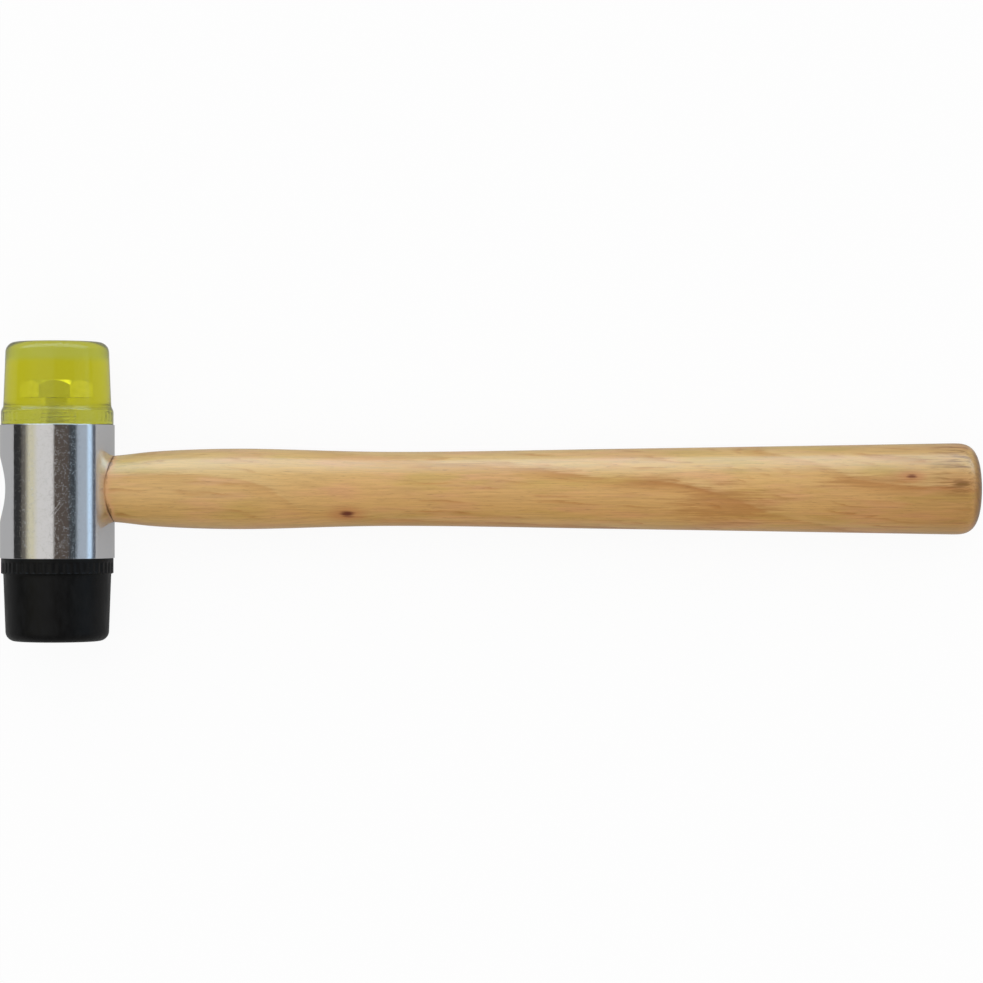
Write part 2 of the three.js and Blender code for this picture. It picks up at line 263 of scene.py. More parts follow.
def run_tree(mesh, tree, values, name):
    """Runs a geometry tree on a mesh and returns the plain mesh that comes out."""
    carrier = bpy.data.objects.new(name, mesh)
    bpy.context.scene.collection.objects.link(carrier)
    modifier = carrier.modifiers.new(tree.name, "NODES")
    modifier.node_group = tree
    for socket in tree.interface.items_tree:
        if socket.in_out == "INPUT" and socket.name in values:
            modifier[socket.identifier] = values[socket.name]
    result = made_mesh(carrier, name)
    bpy.data.objects.remove(carrier)
    if not result.polygons:
        raise RuntimeError(f"the tree {tree.name} made no faces for {name}")
    return result


def carry(piece, body, slot, *nodes):
    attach(piece, body)
    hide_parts(*nodes)


# Node building


def add_node(tree, kind, sockets=None, **settings):
    """A node with its settings, and its sockets given as values or as fields to link."""
    node = tree.nodes.new(kind)
    for key, value in settings.items():
        setattr(node, key, value)
    for key, value in (sockets or {}).items():
        if isinstance(value, Field):
            tree.links.new(value.socket, node.inputs[key])
        else:
            node.inputs[key].default_value = value
    return node


class Field:
    """An output of a node, to calculate with like a number."""

    def __init__(self, tree, socket):
        self.tree, self.socket = tree, socket

    def make(self, kind, sockets=None, output=0, **settings):
        """A field from a new node of the same tree."""
        return Field(self.tree, add_node(self.tree, kind, sockets, **settings).outputs[output])

    def calc(self, operation, *others):
        return self.make("ShaderNodeMath", dict(enumerate((self, *others))), operation=operation)

    def vector(self, operation, *others):
        """A vector operation, which gives a number for a length or a dot product."""
        output = "Value" if operation in {"LENGTH", "DOT_PRODUCT"} else "Vector"
        return self.make("ShaderNodeVectorMath", dict(enumerate((self, *others))), output, operation=operation)

    def __add__(self, other):
        return self.calc("ADD", other)

    def __sub__(self, other):
        return self.calc("SUBTRACT", other)

    def __mul__(self, other):
        return self.calc("MULTIPLY", other)

    def __truediv__(self, other):
        return self.calc("DIVIDE", other)

    def axes(self):
        node = add_node(self.tree, "ShaderNodeSeparateXYZ", {0: self})
        return [Field(self.tree, socket) for socket in node.outputs]

    def times(self, amount):
        """A vector made longer or shorter."""
        return self.make("ShaderNodeVectorMath", {0: self, "Scale": amount}, operation="SCALE")

    def scaled(self, x, y, z):
        return self.vector("MULTIPLY", (x, y, z))

    def reach(self, spot, x, y, z):
        """Distance from a spot, with each axis scaled first."""
        return self.vector("SUBTRACT", spot).scaled(x, y, z).vector("LENGTH")

    def smooth(self, low, high, to_low=0.0, to_high=1.0, kind="SMOOTHSTEP"):
        """The field taken from one range to another and held at both ends."""
        sockets = {"Value": self, "From Min": low, "From Max": high, "To Min": to_low, "To Max": to_high}
        return self.make("ShaderNodeMapRange", sockets, interpolation_type=kind)

    def swayed(self, pattern, amount):
        """The field moved up and down by a pattern that lies round one half."""
        return (pattern - 0.5) * amount + self

    def noise(self, scale=1, detail=2, roughness=0.5):
        sockets = {"Vector": self, "Scale": scale, "Detail": detail, "Roughness": roughness}
        return self.make("ShaderNodeTexNoise", sockets)

    def ramp(self, stops):
        """Colours that follow the field, from pairs of place and linear colour."""
        made = self.make("ShaderNodeValToRGB", {"Fac": self})
        elements = made.socket.node.color_ramp.elements
        while len(elements) < len(stops):
            elements.new(1)
        for element, (place, tint) in zip(elements, stops):
            element.position = place
            element.color = (*tint, 1)
        return made

    def mix(self, first, second):
        """A colour mixed from two, with this field as the share of the second."""
        return self.make("ShaderNodeMix", {0: self, 6: first, 7: second}, 2, data_type="RGBA")

    def painted(self, share, paint):
        """This colour with a share of paint laid over it."""
        return share.mix(self, (*paint, 1))

    def multiplied(self, tone):
        """This colour multiplied by another."""
        sockets = {0: 1.0, 6: self, 7: tone}
        return self.make("ShaderNodeMix", sockets, 2, data_type="RGBA", blend_type="MULTIPLY")


def socket_name(key):
    return key.replace("_", " ").title().replace("Ior", "IOR")


def new_finish(name, **constants):
    """A material, its Principled surface with even values on its own sockets, and the place on the mallet.

    The place is in object coordinates, in millimetres from the barrel's axis.
    """
    material = bpy.data.materials.new(name)
    material.use_nodes = True
    tree = material.node_tree
    surface = tree.nodes["Principled BSDF"]
    for key, value in constants.items():
        socket = surface.inputs[socket_name(key)]
        socket.default_value = (*value, 1) if socket.type == "RGBA" else value
    source = Field(tree, add_node(tree, "ShaderNodeTexCoord").outputs["Object"])
    sockets = {"Vector": source, "Location": [-c / MM for c in HEAD_AXIS], "Scale": (1 / MM,) * 3}
    return material, surface, source.make("ShaderNodeMapping", sockets)


def feed(surface, **patterns):
    """Links patterns to the sockets of a surface."""
    for key, pattern in patterns.items():
        pattern.tree.links.new(pattern.socket, surface.inputs[socket_name(key)])


def bump(surface, height, strength, depth):
    """Relief from a pattern of height, as deep as a number of millimetres."""
    sockets = {"Strength": strength, "Distance": depth * MM, "Height": height}
    feed(surface, normal=height.make("ShaderNodeBump", sockets))


# Finishes


# Heights above the barrel's axis between which the wear on its top sets in
WORN_TOP = (13.6, 16)
# Scratches on top of the barrel: offset and half width across them, first and last place along X
SCRATCHES = ((-7.3, 0.16, -0.4, 4.2), (-8.6, 0.12, 0.6, 5))
SCRATCH_SLOPE = 1.24


def plating_finish(colours):
    """Bright plating with a fine grain, pits, mostly on top, and rubbing marks."""
    material, surface, place = new_finish("bright_plating", base_color=colours.plating, metallic=1)
    x, y, height = place.axes()
    cells = place.make("ShaderNodeTexVoronoi", {"Vector": place, "Scale": 3, "Randomness": 1}, "Distance")
    worn = height.smooth(*WORN_TOP, 0.25, 1)
    pitted = cells.smooth(0.05, 0.36, 1, 0) * place.noise(0.8, 3).smooth(0.38, 0.54) * worn
    for offset, half_width, start, end in SCRATCHES:
        away = (x * -SCRATCH_SLOPE + y - offset).calc("ABSOLUTE")
        span = x.smooth(start, start + 1) * x.smooth(end - 1, end, 1, 0)
        pitted = pitted.calc("MAXIMUM", away.smooth(0.03, half_width, 0.45, 0) * span * worn)
    rubs = place.scaled(2.2, 0.16, 2.2).noise(1, 3)
    bump(surface, rubs * 0.07 + (place.noise(2.4) * 0.1 + pitted), 0.7, 0.04)
    rough = place.scaled(1.4, 0.3, 1.4).noise(1, 4).smooth(0.3, 0.8, 0.05, 0.12)
    feed(surface, roughness=pitted * 0.2 + rough)
    return material


# Growth rings along the handle: distance from the barrel's axis, how far a ring has sunk there, in millimetres,
# and how plainly its dark edge shows
RING_RUN = (
    (0, 0, 0.5), (22, 0.4, 0.6), (50, 1.2, 0.6), (65, 4.9, 0.3), (75, 11, 0.15), (98, 14.2, 0.5), (135, 16.4, 0.65),
    (166, 18.7, 0.95), (186, 20.6, 1), (202, 24.7, 1), (218, 31, 0.55), (228, 33.6, 0.4), (245, 37.8, 0.95),
    (257, 39.4, 1), (290, 42, 0.6),
)
RING_SPACING, RING_START, RING_DROP = 17.8, 8, 45
HANDLE_SPAN = 290
# Spacing of the fine lines between the growth rings
LINE_SPACING = 2.6
# Middle of the growth rings, from the barrel's axis, and their spacing as a sawn end shows them
PITH, END_RING_SPACING = (0, -12, 16), 2.3
# Pin knots: place from the barrel's axis, size and strength; their width over their length
KNOTS = ((88.8, -6.9, 5.5, 1.5, 0.95), (260.2, 4.6, 5.7, 1.1, 0.75), (275.1, 2.2, 5.6, 1.9, 0.5))
KNOT_WIDTH = 0.42
# Brown patches: place from the barrel's axis, half length, half height and strength
PATCHES = ((203, -4.5, 5.5, 17, 7, 0.6), (180, 3.4, 6, 16, 2.4, 0.5), (249, 3, 6, 17, 2.6, 0.55))
# Tone of the wood across and along the handle: place from the barrel's axis and what its colour is multiplied by.
# Across the handle the tone is painted light: lighter and bluer towards +Y, a painted highlight, and darker and
# yellower towards -Y, painted shade. Along it the tone only changes the wood's colour, darker towards the butt.
PAINTED_LIGHT_ACROSS = ((-6, (0.94, 0.91, 0.82)), (0, (1, 1, 1)), (4, (1.02, 1.08, 1.16)), (10.5, (1.02, 1.14, 1.28)))
ALONG_TONE = ((50, (1, 1.06, 1.12)), (90, (1, 1, 1)), (225, (1, 1, 1)), (270, (0.87, 0.83, 0.79)))
# Where cracks set in and fade, the butt turns dark and the tenon ends, from the barrel's axis along the handle
CRACKS_START, CRACKS_END, BUTT_RIM, TENON_FACE = (262, 275), (276, 279.5), (278.6, 281.6), (-14.5, -14.1)


def along_curve(x, points):
    """A value that follows pairs of distance along the handle and height, 0 to 1."""
    made = x.make("ShaderNodeFloatCurve", {"Value": x / HANDLE_SPAN})
    mapping = made.socket.node.mapping
    curve = mapping.curves[0]
    while len(curve.points) < len(points):
        curve.points.new(0.5, 0.5)
    for point, (distance, value) in zip(curve.points, points):
        point.location = (distance / HANDLE_SPAN, value)
    mapping.update()
    return made


def ring_layer(place, fibre):
    """Height across the growth rings, which sink along the handle and are frayed by the fibres."""
    x, y, z = place.axes()
    sunk = along_curve(x, [(distance, drop / RING_DROP) for distance, drop, _ in RING_RUN])
    warp = place.scaled(1 / 50, 1 / 7, 1 / 7).noise(1, 3)
    return (z * 0.25 + (sunk * RING_DROP + y)).swayed(warp, 4).swayed(fibre, 2.6)


def grown_tint(place, fibre, colours):
    """Colour of the wood as it grew: rings, pink and olive patches, brown patches and fine lines."""
    layer = ring_layer(place, fibre)
    rings = ((layer - RING_START) / RING_SPACING).calc("FRACT").ramp([
        (0, colours.wood_pale), (0.3, colours.wood_honey), (0.72, colours.wood_honey),
        (0.88, colours.wood_amber), (0.955, colours.wood_streak), (1, colours.wood_pale),
    ])
    plainness = along_curve(place.axes()[0], [(distance, plain) for distance, _, plain in RING_RUN])
    shown = place.scaled(1 / 40, 1 / 12, 1 / 12).noise().smooth(0.3, 0.55, 0.6, 1)
    tint = (shown * plainness).mix((*colours.wood_honey, 1), rings)
    for low, high, most, stretch, paint in (
        (0.46, 0.68, 0.7, 1 / 26, colours.wood_pink), (0.5, 0.7, 0.75, 1 / 33, colours.wood_olive),
    ):
        spots = place.scaled(stretch, 6 * stretch, 6 * stretch).noise(1, 3, 0.55)
        tint = tint.painted(spots.smooth(low, high, 0, most), paint)
    for *spot, run, rise, strength in PATCHES:
        reach = place.reach(spot, 1 / run, 1 / rise, 0.4 / rise).swayed(fibre, 2.4)
        tint = tint.painted(reach.smooth(0.3, 1.2, strength, 0), colours.wood_streak)
    wander = place.scaled(1 / 22, 1 / 5, 1 / 5).noise()
    turns = (wander * 1.6 + layer / LINE_SPACING).calc("FRACT")
    lines = turns.smooth(0.45, 0.93) * turns.smooth(0.93, 1, 1, 0)
    faded = place.scaled(1 / 18, 1 / 3, 1 / 3).noise().smooth(0.45, 0.7, 0, 0.7)
    return tint.painted(lines * (faded * plainness.smooth(0.3, 0.6)), colours.wood_streak)


def end_grain(place, colours):
    """Arcs of growth rings and pores, as a sawn end shows them."""
    bent = place.noise(0.25) * 1.5 + place.reach(PITH, 0, 1, 1) / END_RING_SPACING
    late = bent.calc("FRACT").smooth(0.3, 1, 0, 0.8)
    pores = place.scaled(0.2, 2.2, 2.2).noise(1, 3).smooth(0.5, 0.7, 0, 0.7)
    return late.calc("MAXIMUM", pores).mix((*colours.wood_crack, 1), (*colours.wood_end, 1))


def worn_ends(tint, place, colours):
    """A tint with cracks near the butt, dark sawn ends and a ragged dark line against the barrel, which is a stain with
    painted shade of the joint.
    """
    x, y, _ = place.axes()
    cracks = place.scaled(1 / 10, 1.4, 1.4).noise(1, 3, 0.55).smooth(0.47, 0.62, 0, 0.9)
    cracks *= x.smooth(*CRACKS_START) * y.smooth(-3, 3, 0.15, 1) * x.smooth(*CRACKS_END, 1, 0.35)
    tint = tint.painted(cracks, colours.wood_crack)
    from_barrel = place.reach((0, 0, 0), 1, 0, 1) - HEAD_RADIUS / MM
    ragged = from_barrel.swayed(place.noise(0.5, 4), 3.6)
    tint = tint.painted(ragged.smooth(0.4, 2.4, 0.7, 0), colours.wood_pink)
    # Painted shade with a stain: a ragged dark line where the wood meets the barrel, strongest towards the handle's
    # edges
    ends = ragged.smooth(0, 0.7, 1, 0) * y.calc("ABSOLUTE").smooth(1.5, 7, 0.1, 0.7)
    for sawn in (x.smooth(*BUTT_RIM, 0, 0.92), x.smooth(*TENON_FACE, 0.85, 0)):
        ends = ends.calc("MAXIMUM", sawn)
    return ends.mix(tint, end_grain(place, colours))


def wood_finish(colours):
    """Varnished wood: slanting growth rings, fibres along the handle, pores, pin knots and a cracked, dark butt, with a
    painted highlight on its +Y side and painted shade on its -Y side.
    """
    material, surface, place = new_finish(
        "varnished_wood", coat_weight=0.55, coat_roughness=0.2, specular_ior_level=0.3
    )
    x, y, _ = place.axes()
    fibre = place.scaled(1 / 14, 1.6, 1.6).noise(1, 5, 0.65)
    tint = grown_tint(place, fibre, colours)
    # Across the handle the tones paint a highlight on its +Y side and shade on its -Y side; along it they darken the
    # wood towards the butt
    for axis, tones in ((y, PAINTED_LIGHT_ACROSS), (x, ALONG_TONE)):
        low, high = tones[0][0], tones[-1][0]
        stops = [((at - low) / (high - low), tone) for at, tone in tones]
        tint = tint.multiplied(((axis - low) / (high - low)).ramp(stops))
    pores = place.scaled(1 / 3.4, 3.4, 3.4).noise().smooth(0.58, 0.74, 1, 0.8)
    shade = fibre.smooth(0.28, 0.7, 0.87, 1.07) * pores
    tint = tint.multiplied(shade.make("ShaderNodeCombineColor", {0: shade, 1: shade, 2: shade}))
    for *spot, size, strength in KNOTS:
        halo = place.reach(spot, KNOT_WIDTH / size, 1 / size, KNOT_WIDTH / size).swayed(fibre, 1.2)
        tint = tint.painted(halo.smooth(0.2, 2.4, 0.65 * strength, 0), colours.wood_red)
        tint = tint.painted(halo.smooth(0.2, 0.85, strength, 0), colours.wood_knot)
    tint = worn_ends(tint, place, colours)
    feed(surface, base_color=tint, roughness=fibre.smooth(0.3, 0.75, 0.36, 0.5))
    bump(surface, pores * 0.6 + fibre, 0.25, 0.06)
    return material


def grained_finish(name, tint, stretch, shades, rough, relief, depth, stops=(0.3, 0.7), fine=None, **constants):
    """A finish whose grain runs between two shades of a tint and two roughnesses.

    The grain is scaled along each axis. The relief is its own or that of a finer grain.
    """
    material, surface, place = new_finish(name, **constants)
    grain = place.scaled(*stretch).noise(1, 4, 0.6)
    tints = [(stop, [c * shade for c in tint]) for stop, shade in zip(stops, shades)]
    feed(surface, base_color=grain.ramp(tints), roughness=grain.smooth(0.3, 0.7, *rough))
    bump(surface, place.noise(fine, 3) if fine else grain, relief, depth)
    return material


def raw_wood_finish(colours):
    """Raw sawn wood of the wedge."""
    return grained_finish("raw_wood", colours.wedge_wood, (1 / 6, 3, 3), (0.6, 1.15), (0.8, 0.6), 0.4, 0.1)


def steel_finish(name, tint, stretch, rough, relief):
    """Plain steel, brighter or duller, with a fine worked grain."""
    return grained_finish(name, tint, stretch, (0.9, 1), rough, relief, 0.05, metallic=1)


def rubber_finish(colours):
    """Black moulded rubber with a slight sheen and faint scuffs."""
    return grained_finish(
        "black_rubber", colours.rubber, (0.5, 0.2, 0.5), (0.75, 1.5), (0.36, 0.5), 0.12, 0.05,
        stops=(0.35, 0.75), fine=5, specular_ior_level=0.16,
    )


# Clear plastic: share of the light that passes its skin, and absorption in a metre
CLEARNESS, PLASTIC_DENSITY = 0.94, 128
# Where the clear face turns pale and hazier at its end (the paleness there is painted light coming in through the end),
# where its collar's haze ends and where the step above it starts and ends, from the head's middle
PALE_END, HAZY_COLLAR, STEP_FOOT, STEP_TOP = (38.8, 41.2), (24, 26.5), (24.6, 25.2), (26.6, 27.6)


def plastic_finish(colours):
    """Clear moulded plastic that takes its colour from its depth, paler and hazier at its end and collar; the paler
    tint at the end is painted light coming in through the end, and at the collar it is haze.
    """
    material, surface, place = new_finish(
        "clear_plastic", transmission_weight=CLEARNESS, ior=1.54, specular_tint=(0.45,) * 3
    )
    haze = place.scaled(0.1, 0.16, 0.1).noise(1, 3)
    along = place.axes()[1].swayed(haze, 1.5)
    end, collar = along.smooth(*PALE_END), along.smooth(*HAZY_COLLAR, 0.75, 0)
    step = along.smooth(*STEP_FOOT) * along.smooth(*STEP_TOP, 1, 0)
    feed(
        surface,
        # Paler tint at the end: painted light coming in through the end; at the collar: haze
        base_color=end.calc("MAXIMUM", collar).mix((*colours.plastic, 1), (*colours.plastic_lit_end_and_haze, 1)),
        roughness=collar * 0.01 + haze.smooth(0.3, 0.75, 0.03, 0.08) + end * 0.16 + step * 0.16,
        transmission_weight=collar * -0.06 + CLEARNESS - end * 0.03,
    )
    bump(surface, place.noise(0.3), 0.12, 0.2)
    sockets = {"Color": (*colours.plastic_depth, 1), "Density": PLASTIC_DENSITY}
    volume = place.make("ShaderNodeVolumeAbsorption", sockets)
    place.tree.links.new(volume.socket, place.tree.nodes["Material Output"].inputs["Volume"])
    return material


# Geometry trees


def new_tree(name, sockets):
    """A geometry tree with a Geometry input and named inputs for its sizes, and those inputs as fields."""
    tree = bpy.data.node_groups.new(name, "GeometryNodeTree")
    for in_out in ("OUTPUT", "INPUT"):
        tree.interface.new_socket("Geometry", in_out=in_out, socket_type="NodeSocketGeometry")
    for socket, kind in sockets.items():
        tree.interface.new_socket(socket, in_out="INPUT", socket_type="NodeSocket" + kind)
    given = add_node(tree, "NodeGroupInput").outputs
    return tree, {key: Field(tree, given[key]) for key in ("Geometry", *sockets)}


def end_tree(geometry, material):
    """Ends a tree in Realize Instances and Set Material."""
    real = geometry.make("GeometryNodeRealizeInstances", {"Geometry": geometry})
    dressed = real.make("GeometryNodeSetMaterial", {"Geometry": real, "Material": material})
    add_node(real.tree, "NodeGroupOutput", {"Geometry": dressed})


def polar_place(tree):
    """Height of each point along Y, its angle about Y and its direction away from Y."""
    x, y, z = Field(tree, add_node(tree, "GeometryNodeInputPosition").outputs[0]).axes()
    level = x.make("ShaderNodeCombineXYZ", {"X": x, "Z": z})
    return y, x.calc("ARCTAN2", z), level.vector("NORMALIZE")


def collar_rib_tree():
    """Cuts evenly spaced grooves into the collar of a turned face, between two heights."""
    tree, given = new_tree("collar_ribs", {
        "Ribs": "Float", "Depth": "Float", "From": "Float", "To": "Float", "Run-out": "Float", "Material": "Material",
    })
    height, angle, outward = polar_place(tree)
    groove = (angle * given["Ribs"]).calc("COSINE") * -0.5 + 0.5
    start, stop = given["From"] + given["Run-out"], given["To"] - given["Run-out"]
    band = height.smooth(given["From"], start) * height.smooth(stop, given["To"], 1, 0)
    offset = outward.times(groove * band * given["Depth"] * -1)
    moved = offset.make("GeometryNodeSetPosition", {"Geometry": given["Geometry"], "Offset": offset})
    end_tree(moved, given["Material"])
    return tree


# Where the flank of a thread starts and ends, as shares of a turn from the middle of its groove
FLANK = (0.11, 0.44)


def thread_tree():
    """Winds a screw thread on to a plain rod about Y, below its start and out at its tip, and joins the head."""
    tree, given = new_tree("bolt_thread", {
        "Pitch": "Float", "Radius": "Float", "Depth": "Float", "Start": "Float", "Tip": "Float", "Chamfer": "Float",
        "Head": "Object", "Material": "Material",
    })
    height, angle, outward = polar_place(tree)
    turns = height / given["Pitch"] - angle / (2 * math.pi)
    rise = turns.calc("PINGPONG", 0.5).smooth(*FLANK, kind="LINEAR")
    rise = rise.calc("MAXIMUM", height.smooth(given["Start"] - given["Depth"], given["Start"]))
    radius = rise * given["Depth"] + (given["Radius"] - given["Depth"])
    limit = height - given["Tip"] - given["Chamfer"] + given["Radius"]
    lifted = height.make("ShaderNodeCombineXYZ", {"Y": height})
    position = outward.times(radius.calc("MINIMUM", limit)).vector("ADD", lifted)
    wound = position.make("GeometryNodeSetPosition", {"Geometry": given["Geometry"], "Position": position})
    head = wound.make("GeometryNodeObjectInfo", {"Object": given["Head"]}, "Geometry")
    both = wound.make("GeometryNodeJoinGeometry", {"Geometry": head})
    tree.links.new(wound.socket, both.socket.node.inputs["Geometry"])
    end_tree(both, given["Material"])
    return tree


# Shapes


# Steps of the handle's outline from station to station
LINE_STEPS = 24


def handle_line(sizes, eye_height):
    """Half heights of the handle against distance from the barrel's axis, a smooth line through the stations."""
    radius = bpy.context.scene.mallet_head.barrel_radius
    stations = [(0, eye_height), (radius, sizes.neck_height)]
    for key in ("shoulder", "belly", "waist", "grip", "swell", "butt"):
        stations.append((getattr(sizes, key + "_at"), getattr(sizes, key + "_height")))
    knots = [Vector((distance, height / 2)) for distance, height in stations]
    knots = [2 * knots[0] - knots[1], *knots, 2 * knots[-1] - knots[-2]]
    line = [knots[1]]
    for a, b, c, d in zip(knots, knots[1:], knots[2:], knots[3:]):
        before, here, after = (math.sqrt((q - p).length) for p, q in ((a, b), (b, c), (c, d)))
        leave = ((b - a) / before - (c - a) / (before + here) + (c - b) / here) * here
        arrive = ((c - b) / here - (d - b) / (here + after) + (d - c) / after) * here
        for t in spaced(0, 1, LINE_STEPS):
            line.append(
                (2 * t**3 - 3 * t**2 + 1) * b + (t**3 - 2 * t**2 + t) * leave
                + (3 * t**2 - 2 * t**3) * c + (t**3 - t**2) * arrive
            )
    return line


def section_ratio(sizes, distance):
    """Thickness over height of the handle's section at a distance from the barrel's axis."""
    radius = bpy.context.scene.mallet_head.barrel_radius
    share = min(max((distance - radius) / (sizes.butt_at - radius), 0), 1)
    first = sizes.tenon_width / sizes.neck_height
    return first + (sizes.butt_thickness / sizes.butt_height - first) * share


def butt_line(sizes, steps):
    """Half heights over the rounded butt, down to the end."""
    power = 2 / sizes.butt_square
    line = []
    for t in spaced(0, math.pi / 2, steps):
        height = sizes.butt_height / 2 * max(math.cos(t), 0) ** power
        line.append(Vector((sizes.butt_at + sizes.butt_round * math.sin(t) ** power, height)))
    line[-1].y = 0
    return line


def rest_place():
    """Moves a piece from the head's own frame to where the mallet lies on its barrel and butt."""
    sizes = bpy.context.scene.mallet_handle
    radius = bpy.context.scene.mallet_head.barrel_radius
    tilts = []
    for distance, half in [*handle_line(sizes, 0)[-2 * LINE_STEPS:], *butt_line(sizes, LINE_STEPS)]:
        thickness = half * section_ratio(sizes, distance)
        tilts.append(math.asin(radius / math.hypot(distance, thickness)) - math.atan2(thickness, distance))
    return Matrix.Translation(HEAD_AXIS) @ Matrix.Rotation(min(tilts), 4, "Y")


# Points round and along half of the barrel's skin, and rows on the skin, its lip and the eye's wall
SKIN_ROUND, SKIN_ALONG, SKIN_ROWS, LIP_ROWS, WALL_ROWS = 72, 44, 22, 6, 10
# Powers by which the eye flares and the rows of the skin crowd towards it, and steps to find its mouth
FLARE_POWER, CROWD_POWER, MOUTH_STEPS = 1.5, 1.4, 30


def eye_point(sizes, x, turn, flare):
    """A point on the wall of the eye, which opens out by the flare towards the barrel's skin."""
    start = sizes.barrel_radius - sizes.eye_flare_depth
    share = max(0, (x - start) / sizes.eye_flare_depth)
    grow = 1 + flare * share**FLARE_POWER / (sizes.eye_height / 2)
    y = sizes.eye_shift + sizes.eye_height / 2 * grow * math.cos(turn)
    return Vector((x, y, sizes.eye_width / 2 * grow * math.sin(turn)))


def half_skin(sizes, flare, lip):
    """Half of the barrel's skin, on +X, as rows of points from its straight edges in to the eye and its wall."""
    radius = sizes.barrel_radius
    edge = sizes.barrel_end - sizes.barrel_edge
    quarter = math.pi / 2
    rim = [(quarter, v) for v in spaced(-edge, edge, SKIN_ALONG)]
    rim += [(u, edge) for u in spaced(quarter, -quarter, SKIN_ROUND)]
    rim += [(-quarter, v) for v in spaced(edge, -edge, SKIN_ALONG)]
    rim += [(u, -edge) for u in spaced(-quarter, quarter, SKIN_ROUND)]
    columns = []
    for u, v in rim:
        turn = math.atan2(u / quarter, (v - sizes.eye_shift) / edge)
        x = radius
        for _ in range(MOUTH_STEPS):
            mouth = eye_point(sizes, x, turn, flare)
            x = math.sqrt(radius**2 - mouth.z**2)
        mouth.x = x
        mouth_u = math.asin(mouth.z / radius)
        back = lip / math.hypot((u - mouth_u) * radius, v - mouth.y)
        lip_u, lip_v = mouth_u + (u - mouth_u) * back, mouth.y + (v - mouth.y) * back
        column = []
        for t in (0, *spaced(0, 1, SKIN_ROWS)):
            share = 1 - (1 - t) ** CROWD_POWER
            at = u + (lip_u - u) * share
            column.append(Vector((radius * math.cos(at), v + (lip_v - v) * share, radius * math.sin(at))))
        outer, inner = column[-1], eye_point(sizes, x - lip, turn, flare)
        for t in spaced(0, 1, LIP_ROWS):
            column.append((1 - t) ** 2 * outer + 2 * t * (1 - t) * mouth + t**2 * inner)
        for t in spaced(0, 1, WALL_ROWS):
            column.append(eye_point(sizes, (x - lip) * (1 - t), turn, flare))
        columns.append(column)
    return [list(row) for row in zip(*columns)]


# Rows over the rounded edge of the barrel and over its flat end
EDGE_ROWS, END_ROWS = 8, 8


def barrel_mesh(sizes):
    """The barrel: half skins with the eye's plain and flared mouths, and ends with rounded edges and tapped holes."""
    radius, top = sizes.barrel_radius, sizes.barrel_end
    handle_side = half_skin(sizes, 0, sizes.eye_lip / 2)
    open_side = [[(-p.x, p.y, p.z) for p in row] for row in half_skin(sizes, sizes.eye_flare, sizes.eye_lip)]
    bore, chamfer, depth = sizes.bore_radius, sizes.bore_chamfer, sizes.bore_depth
    profile = edge_arc(radius, top, sizes.barrel_edge, EDGE_ROWS)
    profile += [(r, top) for r in spaced(radius - sizes.barrel_edge, bore + chamfer, END_ROWS)]
    profile += [(bore, top - chamfer), (bore, top - depth), (0, top - depth)]
    ends = [turned_rows([(r, side * h) for r, h in profile], 2 * SKIN_ROUND) for side in (1, -1)]
    return shell_mesh("barrel_plated", [handle_side, open_side, *ends])


# Share of a face's sloped step that lies below the top of its collar, and the corner at its seat
STEP_LOW, SEAT_CORNER = 0.4, 0.15 * MM
# Rows over each part of a face, and its points from rib to rib
FACE_ROWS = {"seat": 10, "lip": 3, "ribs": 14, "step": 8, "side": 14, "edge": 14, "end": 8}
RIB_POINTS = 12


def face_mesh(sizes, slope, edge):
    """A turned face on its seat: collar, sloped step, tapered side, rounded striking edge."""
    collar, root, height = sizes.collar_radius, sizes.face_root, sizes.face_height
    seat, soft, rows = -sizes.face_seat, SEAT_CORNER, FACE_ROWS
    low = sizes.collar_height - STEP_LOW * slope
    high, side = low + slope, height - edge
    profile = [(0, seat)] + [(r, seat) for r in spaced(0, collar - soft, rows["seat"])]
    profile += [(collar, seat + soft)]
    profile += [(collar, h) for h in spaced(seat + soft, sizes.collar_lip, rows["lip"])]
    profile += [(collar, h) for h in spaced(sizes.collar_lip, low, rows["ribs"])]
    for t in spaced(0, 1, rows["step"]):
        profile.append((root + (collar - root) * (1 + math.cos(math.pi * t)) / 2, low + slope * t))
    for t in spaced(0, 1, rows["side"]):
        profile.append((root + (sizes.face_tip - root) * t, high + (side - high) * t))
    profile += edge_arc(sizes.face_tip, height, edge, rows["edge"])[1:]
    profile += [(r, height) for r in spaced(sizes.face_tip - edge, 0, rows["end"])]
    return shell_mesh("turned_face", [turned_rows(profile, sizes.rib_count * RIB_POINTS)], 50)


# Bolt head: points round it, its chamfer and washer face, and radii of washer face, flat top and a row on that top, as
# shares of half its flats
HEAD_POINTS, HEAD_CHAMFER, WASHER_HEIGHT = 96, math.radians(55), 0.2 * MM
WASHER_FACE, FLAT_TOP, TOP_ROW = 0.93, 0.99, 0.5


